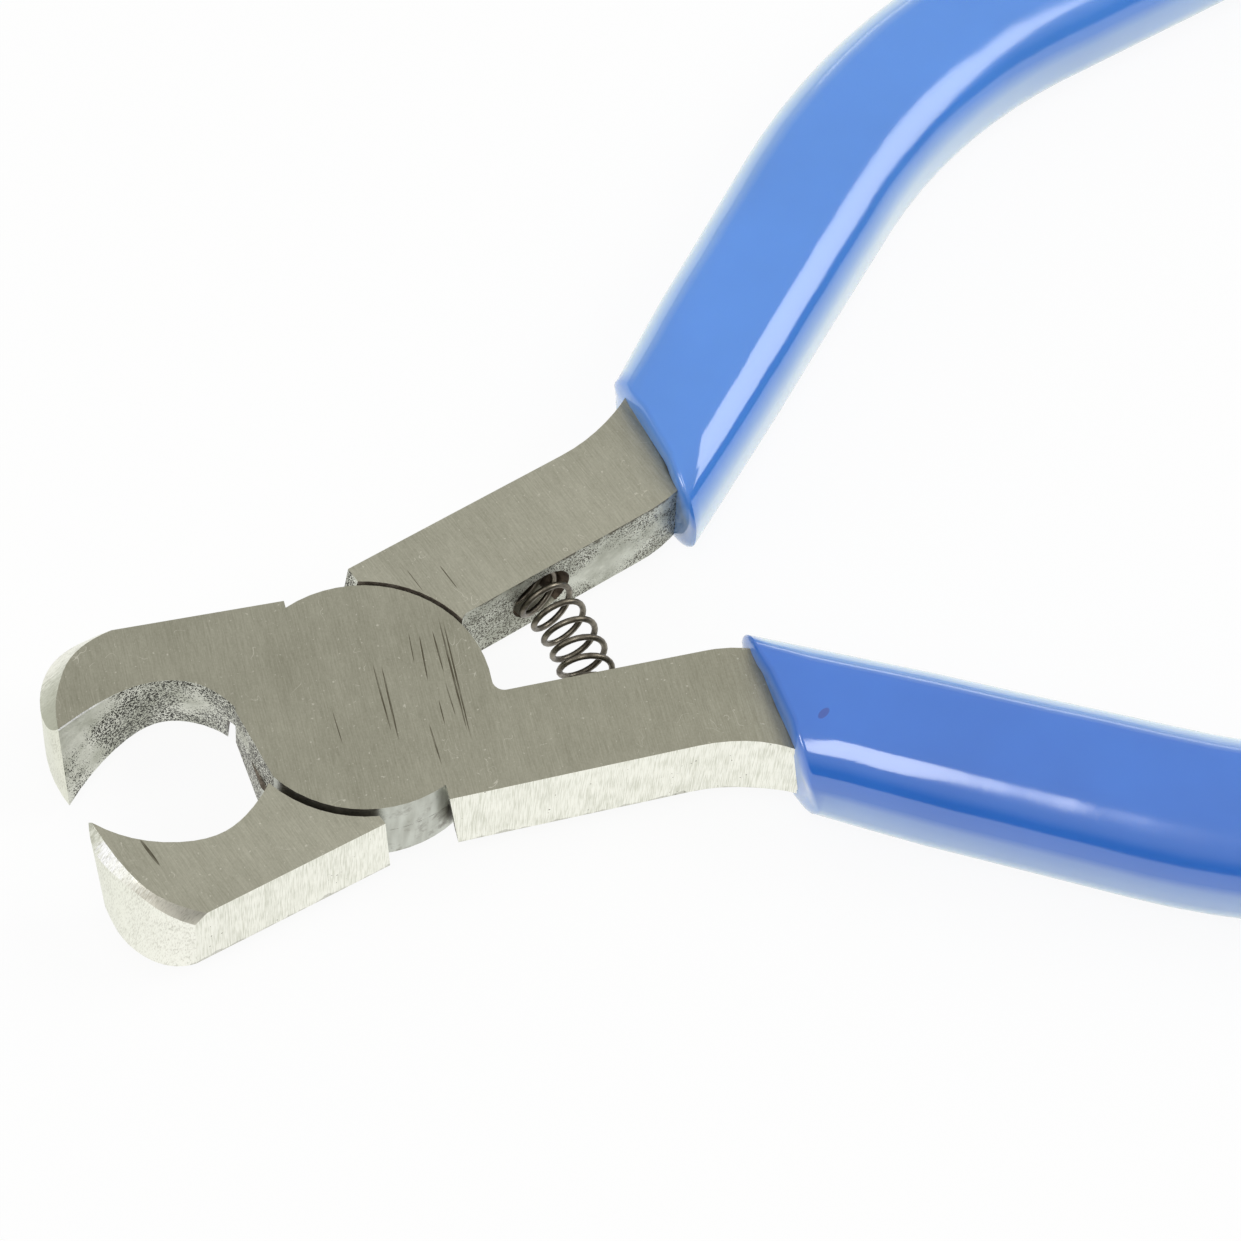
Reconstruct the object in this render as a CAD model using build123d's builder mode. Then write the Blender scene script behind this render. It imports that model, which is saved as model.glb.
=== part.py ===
from build123d import *
from math import asin, atan2, cos, degrees, pi, radians, sin
import os

os.makedirs("parts", exist_ok=True)

# Steel: both halves are as thick as this, the joint discs share it
thickness = 5.5
mid_height = thickness / 2
lap_gap = 0.02
open_angle = 20.2

# Lap joint
disc_radius = 7.36
arm_recess_gap = 0.26
jaw_recess_gap = 0.46
arm_recess_radius = disc_radius + arm_recess_gap
jaw_recess_radius = disc_radius + jaw_recess_gap
throat_flat_distance = 6.97
throat_flat_angle = 14.4
jaw_back_y = 3.0
own_shoulder_x = 3.1
recess_shoulder_x = 3.55
own_arm_end_x = 3.15
recess_arm_end_x = 3.85
joint_corner_radius = 0.7

# Pivot rivet, ground flush with both faces
rivet_radius = 2.0
rivet_head_radius = 2.75
rivet_head_depth = 0.9
rivet_clearance = 0.03

# Arms, straight to the bend and then leaning away from the axis
arm_inner_y = 1.4
arm_outer_y = 7.6
arm_outer_end_y = 7.38
handle_angle = 28
outer_bend_radius = 11
inner_bend_radius = 10
inner_bend_delay = 2.0

# Tangs inside the grips
tang_thickness = 5.0
tang_end_gap = 4.5
roll_off_length = 2.7
mouth_delay = 5.4
mouth_y = 5.3
handle_straight = 23
handle_curve_radius = 42
handle_curve_angle = 31
handle_tail = 30

# Dipped grips, made longer at the mouth by an allowance that is then cut off at a slant
grip_mouth_allowance = 4.2
grip_mouth_width = 8.5
grip_mouth_thickness = 7.3
grip_shoulder_width = 9.6
grip_shoulder_thickness = 7.9
grip_shoulder_length = 9.0
grip_middle_width = 10.2
grip_middle_thickness = 8.1
grip_tail_width = 9.0
grip_tail_thickness = 7.5
grip_corner_radius = 3.0
grip_lip_bevel = 0.5
grip_end_radius = 2.6

# Return spring, bent along an arc about the pivot
spring_arc_radius = 13.35
spring_outer_radius = 1.7
spring_wire_radius = 0.19
spring_open_coil_count = 7.5
spring_closed_coil_count = 1.0
spring_closed_coil_pitch = 0.4
socket_radius = 1.95
socket_depth = 1.7
socket_end_gap = 0.06
socket_floor_angle = asin(arm_inner_y / spring_arc_radius) + socket_depth / spring_arc_radius

# Bevel ground on the outside of both jaw ends, as width in plan for the depth it reaches
bevel_depth = 3.0
bevel_width = 2.1

# Side of a block that is larger than what it trims
block = 120


class JawFace:
    """Plan curves of a jaw at one height, drawn for a jaw on the +Y side."""

    def __init__(self, height, tip, inner, throat, shoulder, corner, end):
        self.height = height
        self.tip = tip
        self.inner = inner
        self.throat = throat
        self.shoulder = shoulder
        self.corner = corner
        self.end = end


upper_jaw_faces = (
    JawFace(0, (-17.3, -0.32), [(-16.2, 0.9), (-14.0, 2.75), (-11.2, 3.9), (-9.0, 3.3)], (-7.1, 1.5),
            (-recess_shoulder_x, 7.15), (-14.6, 7.55),
            [(-16.6, 7.2), (-17.6, 5.6), (-17.95, 3.8), (-17.95, 2.1), (-17.7, 0.8)]),
    JawFace(thickness, (-17.3, 1.65), [(-15.0, 2.75), (-11.7, 3.5), (-9.2, 2.9), (-7.8, 1.6)], (-6.8, -0.3),
            (-own_shoulder_x, 7.15), (-14.6, 7.4),
            [(-16.6, 7.15), (-17.6, 5.7), (-17.95, 4.3), (-17.95, 3.1), (-17.75, 2.3)]),
)

lower_jaw_faces = (
    JawFace(0, (-17.3, 0.32), [(-15.0, 1.9), (-11.7, 3.3), (-9.2, 2.7), (-7.8, 1.5)], (-6.8, -0.3),
            (-own_shoulder_x, 7.55), (-15.6, 6.8),
            [(-17.0, 6.05), (-17.75, 5.0), (-18.25, 3.1), (-18.1, 1.35), (-17.75, 0.45)]),
    JawFace(thickness, (-17.3, -1.65), [(-15.9, 0.55), (-13.9, 2.2), (-11.3, 3.08), (-9.2, 2.65)], (-7.1, 1.5),
            (-recess_shoulder_x, 7.55), (-15.6, 6.8),
            [(-16.2, 5.9), (-16.8, 4.7), (-17.3, 3.0), (-17.65, 1.2), (-17.75, -0.5)]),
)

# Upper ends of the bevels on the jaw ends, run past the jaw at both sides
upper_bevel_curve = [(-17.2, -1.2), (-17.3, 1.9), (-17.07, 3.54), (-16.62, 4.7), (-15.9, 5.9), (-14.3, 7.0),
                     (-12.7, 7.45), (-11.0, 7.6)]
lower_bevel_curve = [(-16.9, -4.0), (-17.2, -1.2), (-17.15, 1.9), (-16.8, 3.8), (-15.6, 6.0), (-13.0, 8.2)]


def draw_jaw_face(face):
    """Draw the closed plan of a jaw at the height of one of its faces."""
    with BuildSketch(Plane.XY.offset(face.height)) as plan:
        with BuildLine():
            Spline(face.tip, *face.inner, face.throat)
            Line(face.throat, (face.shoulder[0], jaw_back_y))
            Line((face.shoulder[0], jaw_back_y), face.shoulder)
            Line(face.shoulder, face.corner)
            Spline(face.corner, *face.end, face.tip)
        make_face()
    return plan.sketch


def draw_behind_bevel(points, height):
    """Draw the plan of all that lies behind a bevel curve at one height."""
    (first_x, first_y), (last_x, last_y) = points[0], points[-1]
    with BuildSketch(Plane.XY.offset(height)) as plan:
        with BuildLine():
            Spline(*points)
            Polyline((last_x, last_y), (0, last_y), (0, first_y), (first_x, first_y))
        make_face()
    return plan.sketch


def bevel_solid(points):
    """Solid that widens downwards from a bevel curve, to trim a jaw end with."""
    with BuildLine():
        curve = Spline(*points)
    lowered = []
    for step in range(len(points)):
        place = step / (len(points) - 1)
        along = curve % place
        point = curve @ place + Vector(-along.Y, along.X) * bevel_width
        lowered.append((point.X, point.Y))
    with BuildPart() as solid:
        add(draw_behind_bevel(points, thickness))
        add(draw_behind_bevel(lowered, thickness - bevel_depth))
        loft(ruled=True)
        with BuildSketch(Plane.XY.offset(thickness - bevel_depth)):
            Rectangle(block, block)
        extrude(amount=-thickness)
    return solid.part


def jaw(faces, bevel_curve):
    """Jaw block ruled between its two plans, with the bevel ground on its end."""
    with BuildPart() as block:
        for face in faces:
            add(draw_jaw_face(face))
        loft(ruled=True)
        add(bevel_solid(bevel_curve), mode=Mode.INTERSECT)
    return block.part


def arm_plan(bend_x):
    """Draw the arm from the joint and its tang to the end inside the grip, on the -Y side."""
    tilt = degrees(atan2(arm_outer_y - arm_outer_end_y, bend_x - own_arm_end_x))
    lean = radians(handle_angle)
    along = Vector(cos(lean), -sin(lean))
    inwards = Vector(sin(lean), cos(lean))
    mouth = Vector(bend_x + mouth_delay, -mouth_y)
    with BuildSketch() as plan:
        with BuildLine():
            outer = Line((own_arm_end_x, -arm_outer_y), (bend_x, -arm_outer_end_y))
            inner = Line((own_arm_end_x, -arm_inner_y), (bend_x + inner_bend_delay, -arm_inner_y))
            outer_bend = JernArc(outer @ 1, outer % 1, outer_bend_radius, -handle_angle - tilt)
            inner_bend = JernArc(inner @ 1, inner % 1, inner_bend_radius, -handle_angle)
            ends = []
            for bend in (outer_bend, inner_bend):
                from_mouth = bend @ 1 - mouth
                radius = handle_curve_radius - from_mouth.dot(inwards)
                straight = Line(bend @ 1, bend @ 1 + along * (handle_straight - from_mouth.dot(along)))
                curve = JernArc(straight @ 1, along, radius, handle_curve_angle)
                tail = Line(curve @ 1, curve @ 1 + (curve % 1) * (handle_tail - tang_end_gap))
                ends.append(tail @ 1)
            Line(ends[0], ends[1])
            Line(inner @ 0, outer @ 0)
        make_face()
    return plan.sketch


def handle_line(bend_x, lead, tail, shift=0):
    """Centre line of a tang or grip at mid height, on the -Y side."""
    along = Vector(cos(radians(handle_angle)), -sin(radians(handle_angle)))
    mouth = Vector(bend_x + mouth_delay, -mouth_y - shift, mid_height)
    with BuildLine() as line:
        straight = Line(mouth - along * lead, mouth + along * handle_straight)
        curve = JernArc(straight @ 1, straight % 1, handle_curve_radius, handle_curve_angle)
        Line(curve @ 1, curve @ 1 + (curve % 1) * tail)
    return line.wires()[0]


def across(line, place):
    """Plane square to a centre line, its X axis upright."""
    return Plane(origin=line @ place, x_dir=(0, 0, 1), z_dir=line % place)


def joint_disc(low, high):
    """Disc of the lap joint with the flat ground on it at the throat."""
    with BuildPart() as disc:
        with BuildSketch(Plane.XY.offset(low)):
            Circle(disc_radius)
            with Locations(Location((0, 0, 0), (0, 0, 180 + throat_flat_angle))):
                with Locations((throat_flat_distance + disc_radius, 0)):
                    Rectangle(2 * disc_radius, 3 * disc_radius, mode=Mode.SUBTRACT)
        extrude(amount=high - low)
    return disc.part


def half(faces, bevel_curve, disc_on_top, bend_x):
    """Forged half, jaw on the +Y side and arm on the -Y side, before it is turned open.

    Its disc fills one layer of the joint. The other layer is cut back around the other half's disc.
    """
    lap_z = mid_height + (lap_gap / 2 if disc_on_top else -lap_gap / 2)
    own_low, own_high = (lap_z, thickness) if disc_on_top else (0, lap_z)
    cut_low, cut_high = (0, lap_z) if disc_on_top else (lap_z, thickness)
    with BuildPart() as body:
        add(jaw(faces, bevel_curve))
        add(arm_plan(bend_x))
        extrude(amount=thickness)

        # Ground faces roll off just before the grip
        roll_x = bend_x + mouth_delay - roll_off_length
        with BuildSketch(Plane.XZ):
            for face_z, outwards in ((0, -1), (thickness, 1)):
                tang_z = mid_height + outwards * tang_thickness / 2
                with BuildLine():
                    TangentArc((roll_x, face_z), (roll_x + roll_off_length, tang_z), tangent=(1, 0))
                    Polyline((roll_x + roll_off_length, tang_z), (block, tang_z), (block, face_z + outwards),
                             (roll_x, face_z + outwards), (roll_x, face_z))
                make_face()
        extrude(amount=block, both=True, mode=Mode.SUBTRACT)

        # Recess around the other half's disc
        with BuildSketch(Plane.XY.offset(cut_low)):
            Circle(jaw_recess_radius)
            with Locations((disc_radius, 0)):
                Rectangle(2 * disc_radius, 3 * disc_radius, mode=Mode.SUBTRACT)
            Circle(arm_recess_radius)
        extrude(amount=cut_high - cut_low, mode=Mode.SUBTRACT)

        # End of the arm, drafted from the joint's own face to the other one
        own_z, other_z = (thickness, 0) if disc_on_top else (0, thickness)
        with BuildSketch(Plane.XZ.offset(arm_inner_y)):
            with BuildLine():
                Polyline((0, own_z), (own_arm_end_x, own_z), (recess_arm_end_x, other_z), (0, other_z), close=True)
            make_face()
        extrude(amount=arm_outer_y, mode=Mode.SUBTRACT)

        add(joint_disc(own_low, own_high))

        # Rounded corner where the arm leaves its own disc
        corner = Vector((disc_radius ** 2 - arm_inner_y ** 2) ** 0.5, -arm_inner_y, (own_low + own_high) / 2)
        fillet(body.edges().filter_by(Axis.Z).sort_by_distance(corner)[0], joint_corner_radius)

        # Drilled socket for the spring, its floor square to the arc the spring lies along
        angle = socket_floor_angle
        floor = Plane(origin=(spring_arc_radius * cos(angle), -spring_arc_radius * sin(angle), mid_height),
                      z_dir=(sin(angle), cos(angle), 0))
        with BuildSketch(floor):
            Circle(socket_radius)
        extrude(amount=2 * socket_depth, mode=Mode.SUBTRACT)
    return body.part


def rivet_solid(clearance):
    """Rivet with a shallow cone head at each face, grown by a clearance for the hole it runs in."""
    head = rivet_head_radius + clearance
    shank = rivet_radius + clearance
    with BuildPart() as rivet:
        with BuildSketch(Plane.XZ):
            with BuildLine():
                Polyline((0, 0), (head, 0), (shank, rivet_head_depth), (shank, thickness - rivet_head_depth),
                         (head, thickness), (0, thickness), close=True)
            make_face()
        revolve(axis=Axis.Z)
    return rivet.part


def grip(bend_x, steel, shift, mouth_angle):
    """Dipped grip over the tang of a half, before it is turned open."""
    lead = grip_mouth_allowance
    line = handle_line(bend_x, lead, handle_tail, shift)
    bend_start = lead + handle_straight
    bend_end = line.length - handle_tail
    straight_sections = (
        (0, grip_mouth_thickness, grip_mouth_width),
        (lead + grip_shoulder_length, grip_shoulder_thickness, grip_shoulder_width),
        (bend_start, grip_middle_thickness, grip_middle_width),
    )
    tail_sections = (
        (bend_end, grip_middle_thickness, grip_middle_width),
        (line.length, grip_tail_thickness, grip_tail_width),
    )
    with BuildPart() as sleeve:
        for sections in (straight_sections, tail_sections):
            for distance, height, width in sections:
                with BuildSketch(across(line, distance / line.length)):
                    RectangleRounded(height, width, grip_corner_radius)
            loft(ruled=True)
        with BuildSketch(across(line, bend_start / line.length)):
            RectangleRounded(grip_middle_thickness, grip_middle_width, grip_corner_radius)
        sweep(path=line.edges().filter_by(GeomType.CIRCLE)[0])

        # Mouth, left at a slant by the dipping
        with Locations(Location((bend_x + mouth_delay, -mouth_y, 0), (0, 0, mouth_angle))):
            with Locations((-block / 2, 0)):
                Box(block, block, block, mode=Mode.SUBTRACT)
        mouth_face = sleeve.faces().sort_by(Axis.X)[0]
        chamfer(mouth_face.edges(), grip_lip_bevel)
        end_face = sleeve.faces().filter_by(GeomType.PLANE).sort_by(Axis.X)[-1]
        fillet(end_face.edges(), grip_end_radius)
        add(steel, mode=Mode.SUBTRACT)
    return sleeve.part


def spring_line():
    """Centre line of the spring wire, coiled about an arc around the pivot with closed end coils."""
    floor_angle = socket_floor_angle + radians(open_angle / 2)
    half_sweep = floor_angle - (socket_end_gap + spring_wire_radius) / spring_arc_radius
    coil_radius = spring_outer_radius - spring_wire_radius
    coils = spring_open_coil_count + 2 * spring_closed_coil_count
    closed_sweep = spring_closed_coil_pitch / spring_arc_radius
    steps_per_coil = 12
    points = []
    for step in range(int(coils * steps_per_coil) + 1):
        turn = step / steps_per_coil
        from_end = min(turn, coils - turn)
        open_share = max(turn - spring_closed_coil_count, 0) / spring_open_coil_count
        open_sweep = 2 * (half_sweep - closed_sweep * spring_closed_coil_count)
        if from_end < spring_closed_coil_count:
            swept = closed_sweep * from_end
            angle = swept - half_sweep if turn < coils / 2 else half_sweep - swept
        else:
            angle = -half_sweep + closed_sweep * spring_closed_coil_count + open_sweep * open_share
        radius = spring_arc_radius + coil_radius * cos(2 * pi * turn)
        points.append((radius * cos(angle), radius * sin(angle), mid_height + coil_radius * sin(2 * pi * turn)))
    return points


# Bends begin a little further out on the half with the lower disc, and its grip is dipped at more of a slant
upper_bend_x = 17.8
lower_bend_x = 18.8
upper_grip_shift, upper_mouth_angle = 0.2, 7
lower_grip_shift, lower_mouth_angle = -0.1, 12

upper_steel = half(upper_jaw_faces, upper_bevel_curve, True, upper_bend_x) - rivet_solid(0)
lower_steel = half(lower_jaw_faces, lower_bevel_curve, False, lower_bend_x) - rivet_solid(rivet_clearance)

with BuildPart() as jaw_half_upper:
    add(upper_steel, rotation=(0, 0, -open_angle / 2))

with BuildPart() as jaw_half_lower:
    add(mirror(lower_steel, about=Plane.XZ, mode=Mode.PRIVATE), rotation=(0, 0, open_angle / 2))

with BuildPart() as pivot_rivet:
    add(rivet_solid(0), rotation=(0, 0, -open_angle / 2))

with BuildPart() as grip_upper_half:
    add(grip(upper_bend_x, upper_steel, upper_grip_shift, upper_mouth_angle), rotation=(0, 0, -open_angle / 2))

with BuildPart() as grip_lower_half:
    lower_grip = grip(lower_bend_x, lower_steel, lower_grip_shift, lower_mouth_angle)
    add(mirror(lower_grip, about=Plane.XZ, mode=Mode.PRIVATE), rotation=(0, 0, open_angle / 2))

with BuildPart() as return_spring:
    with BuildLine() as wire_line:
        Polyline(*spring_line())
    wire = wire_line.wires()[0]
    with BuildSketch(Plane(origin=wire @ 0, z_dir=wire % 0)):
        RegularPolygon(spring_wire_radius, 8)
    sweep(path=wire, transition=Transition.RIGHT)

jaw_half_upper.part.label = "jaw_half_upper"
jaw_half_lower.part.label = "jaw_half_lower"
pivot_rivet.part.label = "pivot_rivet"
grip_upper_half.part.label = "grip_upper_half"
grip_lower_half.part.label = "grip_lower_half"
return_spring.part.label = "return_spring"

export_step(jaw_half_upper.part, "parts/jaw_half_upper.step")
export_step(jaw_half_lower.part, "parts/jaw_half_lower.step")
export_step(pivot_rivet.part, "parts/pivot_rivet.step")
export_step(grip_upper_half.part, "parts/grip_upper_half.step")
export_step(grip_lower_half.part, "parts/grip_lower_half.step")
export_step(return_spring.part, "parts/return_spring.step")
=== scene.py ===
"""Looks of a small spring-opened nipper: ground steel halves, coil spring and dipped grips."""

import logging
from collections.abc import Callable
from dataclasses import dataclass, replace
from enum import Enum
from functools import partial
from math import asin, atan2, cos, hypot, pi, radians, sin, tan

import bmesh
import bpy
from bpy.types import ID, Material, MeshPolygon, Node, NodeSocket, NodeTree, Object
from mathutils import Matrix, Vector


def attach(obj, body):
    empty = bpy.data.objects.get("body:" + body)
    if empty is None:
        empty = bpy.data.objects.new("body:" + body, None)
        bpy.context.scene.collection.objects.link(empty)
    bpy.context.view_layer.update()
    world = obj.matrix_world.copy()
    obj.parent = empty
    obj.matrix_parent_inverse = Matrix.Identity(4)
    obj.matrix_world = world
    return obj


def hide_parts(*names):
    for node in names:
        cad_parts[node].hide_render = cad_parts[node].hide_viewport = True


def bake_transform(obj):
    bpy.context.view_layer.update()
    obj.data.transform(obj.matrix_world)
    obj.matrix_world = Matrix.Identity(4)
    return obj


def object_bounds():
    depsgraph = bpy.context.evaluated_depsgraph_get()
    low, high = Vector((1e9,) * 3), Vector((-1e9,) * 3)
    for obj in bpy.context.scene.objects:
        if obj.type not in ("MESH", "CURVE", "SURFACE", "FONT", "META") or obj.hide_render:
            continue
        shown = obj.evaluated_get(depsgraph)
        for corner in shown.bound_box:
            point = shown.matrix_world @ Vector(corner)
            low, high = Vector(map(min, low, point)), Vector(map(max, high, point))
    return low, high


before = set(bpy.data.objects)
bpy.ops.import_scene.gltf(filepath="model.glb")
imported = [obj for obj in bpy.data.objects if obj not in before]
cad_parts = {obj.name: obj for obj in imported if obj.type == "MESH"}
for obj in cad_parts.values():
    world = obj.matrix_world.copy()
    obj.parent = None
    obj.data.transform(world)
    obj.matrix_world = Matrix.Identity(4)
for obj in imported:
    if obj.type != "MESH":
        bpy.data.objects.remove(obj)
CAD_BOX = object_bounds()

log = logging.getLogger("nipper")
MM = 0.001
NodeAdder = Callable[..., Node]
Tones = tuple[tuple[float, str], ...]

# The halves stand open by this angle at rest, each turned by half of it from the closed tool
OPEN_ANGLE = radians(20.2)
STEEL_THICKNESS = 5.5 * MM
MID_HEIGHT = STEEL_THICKNESS / 2


def linear_colour(hex_colour: str) -> tuple[float, float, float, float]:
    """Turn an sRGB hex colour into a linear one.

    Args:
        hex_colour: Six hex digits after a hash sign.

    Returns:
        Linear red, green, blue and an alpha of 1.
    """
    parts = [int(hex_colour[start:start + 2], 16) / 255 for start in (1, 3, 5)]
    linear = [part / 12.92 if part <= 0.04045 else ((part + 0.055) / 1.055) ** 2.4 for part in parts]
    return (*linear, 1.0)


def add_node(tree: NodeTree, kind: str, inputs: dict | tuple = (), **settings: object) -> Node:
    """Add a node to a tree with its settings, values and links.

    Args:
        tree: The node tree.
        kind: Type name of the node, without the ShaderNode in front of it.
        inputs: Values by input name or index, or a tuple of them in order. Each is a number, a vector,
            a hex colour, a socket, or a node for its first output. Scales of patterns are per metre.
        settings: Properties of the node itself, or the stops of a colour ramp.

    Returns:
        The new node.
    """
    node = tree.nodes.new("ShaderNode" + kind)
    for number, (position, colour) in enumerate(settings.pop("stops", ())):
        # The first two stops of a new ramp are already there
        elements = node.color_ramp.elements
        element = elements[number] if number < 2 else elements.new(1.0)
        element.position = position
        element.color = linear_colour(colour)
    for name, value in settings.items():
        setattr(node, name, value)
    for key, value in inputs.items() if isinstance(inputs, dict) else enumerate(inputs):
        if isinstance(value, Node):
            value = value.outputs[0]
        if isinstance(value, NodeSocket):
            tree.links.new(value, node.inputs[key])
        elif isinstance(value, str):
            node.inputs[key].default_value = linear_colour(value)
        else:
            node.inputs[key].default_value = value
    return node


def new_material(name: str) -> tuple[Material, NodeAdder]:
    """Make an empty node material.

    Args:
        name: Name of the material.

    Returns:
        The material, and add_node for its empty tree.
    """
    material = bpy.data.materials.new(name)
    material.use_nodes = True
    material.node_tree.nodes.clear()
    return material, partial(add_node, material.node_tree)


def shaded(material: Material, inputs: dict) -> Material:
    """Join a material's finished pattern to its surface shader.

    Args:
        material: Material with the nodes of its pattern.
        inputs: Inputs of the surface shader, as in add_node.

    Returns:
        The same material.
    """
    shader = add_node(material.node_tree, "BsdfPrincipled", inputs)
    add_node(material.node_tree, "OutputMaterial", {0: shader})
    return material


@dataclass(frozen=True)
class Mark:
    """Long narrow mark on an upward face, such as a scratch, with its ends in mm at rest."""

    start: tuple[float, float]
    end: tuple[float, float]
    width: float = 0.11
    height: float = 5.5

    def mask(self, add: NodeAdder, coords: NodeSocket) -> Node:
        """Build the mark's mask as a long flat ellipse.

        Args:
            add: The add_node of the material's tree.
            coords: Object coordinates.

        Returns:
            Node that gives 1 along the middle of the mark and 0 off it.
        """
        run = Vector(self.end) - Vector(self.start)
        middle = (Vector(self.start) + Vector(self.end)) / 2 * MM
        place = add(
            "Mapping",
            {
                "Vector": coords,
                "Location": (*middle, self.height * MM),
                "Rotation": (0, 0, atan2(run.y, run.x)),
                "Scale": (run.length / 2 * MM, self.width / 2 * MM, 0.5 * MM),
            },
            vector_type="TEXTURE",
        )
        ellipse = add("TexGradient", {0: place}, gradient_type="SPHERICAL")
        return add("Math", (ellipse.outputs["Fac"], 5.0), operation="MULTIPLY", use_clamp=True)


@dataclass(frozen=True)
class GroundFace:
    """Tool steel surface-ground across the tool, with the wheel's fine lines and a few deep ones.

    It gives a flat warm grey with short faint streaks, pale nicks, dark scratches and browning
    beside the grip, where dirt gathers, mixed with painted shade from the grip.
    """

    name: str
    turn: float = 0.0
    mouth: tuple[float, float] = (0.0, 0.0)
    mouth_angle: float = 0.0
    marks: tuple[Mark, ...] = ()
    dark: str = "#9c9a88"
    light: str = "#b5b3a1"
    # Browning by the grip, partly dirt and partly painted shade
    grime: str = "#857e6c"
    # Black crust by the grip's mouth, mixed with painted contact shade
    crust: str = "#463e30"
    scratch: str = "#5d5848"
    nick: str = "#ece9da"

    def material(self) -> Material:
        """Build the finish from nodes.

        Returns:
            The finished material.
        """
        material, add = new_material(self.name)
        coords = add("TexCoord").outputs["Object"]
        turned = add("Mapping", {0: coords, "Rotation": (0, 0, -self.turn)})

        # Wheel lines 0.08 mm wide and some millimetres long, over cloudy patches 5 mm across
        streak = add("Mapping", {0: turned, "Scale": (1, 0.06, 1)})
        lines = add("TexNoise", {0: streak, "Scale": 12000, "Roughness": 0.7})
        wide = add("TexNoise", {0: streak, "Scale": 1700, "Detail": 1.0})
        cloud = add("TexNoise", {0: turned, "Scale": 200, "Detail": 4.0})
        grain = add("TexNoise", {0: turned, "Scale": 9000, "Detail": 1.0})
        tone = -0.55
        for pattern, weight in ((lines, 1.1), (wide, 0.3), (grain, 0.5), (cloud, 0.6)):
            tone = add("Math", (pattern, weight, tone), operation="MULTIPLY_ADD")
        steel = add("ValToRGB", {0: tone}, stops=[(0.35, self.dark), (1.05, self.light)])

        # Nicks up to a millimetre long, as short curved strokes and dots
        curl = add("TexNoise", {0: turned, "Scale": 480, "Detail": 1.0, "Distortion": 1.2})
        off_line = add("Math", (curl, 0.5, 0.004), operation="COMPARE")
        where = add("TexNoise", {0: turned, "Scale": 650, "Detail": 1.0, "W": 3.0}, noise_dimensions="4D")
        few = add("Math", (where, 0.62), operation="GREATER_THAN")
        stroke = add("Math", (off_line, few), operation="MULTIPLY")
        chips = add("TexNoise", {0: turned, "Scale": 4200})
        dot = add("MapRange", (chips, 0.68, 0.74))
        nicks = add("Math", (stroke, dot), operation="MAXIMUM")
        nick_share = add("Math", (nicks, 0.45), operation="MULTIPLY")
        nicked = add("MixRGB", (nick_share, steel, self.nick))

        # Browning towards the mouth of the grip, broken up into specks: partly dirt and rust, partly
        # painted shade from the grip
        beside = add(
            "Mapping",
            {
                0: coords,
                "Location": (*self.mouth, 0),
                "Rotation": (0, 0, self.mouth_angle),
                "Scale": (MM, MM, MM),
            },
            vector_type="TEXTURE",
        )
        along = add("SeparateXYZ", {0: beside})
        near = add("MapRange", (along, -4.0, 0.3, 0.0, 0.7))
        browning_and_shade = add("Math", (near, 2.4), operation="POWER")
        speckle = add("TexNoise", {0: turned, "Scale": 3000})
        rough_share = add("Math", (speckle, 1.5), operation="MULTIPLY")
        brown = add("Math", (browning_and_shade, rough_share), operation="MULTIPLY", use_clamp=True)
        dirt_and_shade = add("MixRGB", (brown, nicked, self.grime))

        # Black crust with painted contact shade in the last half millimetre before the grip
        close = add("MapRange", (along, -0.8, 0.2, -0.25, 0.6))
        crust_and_shade = add("Math", (close, cloud), operation="ADD")
        crust = add("MapRange", (crust_and_shade, 0.62, 0.8, 0.0, 0.65))
        dirt_and_shade = add("MixRGB", (crust, dirt_and_shade, self.crust))

        # Deep scratches from coarse grit, a little broken along their length
        deep = 0.0
        for mark in self.marks:
            deep = add("Math", (deep, mark.mask(add, coords)), operation="MAXIMUM")
        gaps = add("MapRange", (lines, 0.3, 0.55, 0.35, 0.95))
        deep = add("Math", (deep, gaps), operation="MULTIPLY")
        scored = add("MixRGB", (deep, dirt_and_shade, self.scratch))

        height = add("Math", (deep, -2.0, tone), operation="MULTIPLY_ADD")
        bump = add("Bump", {"Height": height, "Strength": 0.25, "Distance": 0.03 * MM})
        return shaded(material, {"Base Color": scored, "Metallic": 1.0, "Roughness": 0.5, "Normal": bump})


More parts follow.
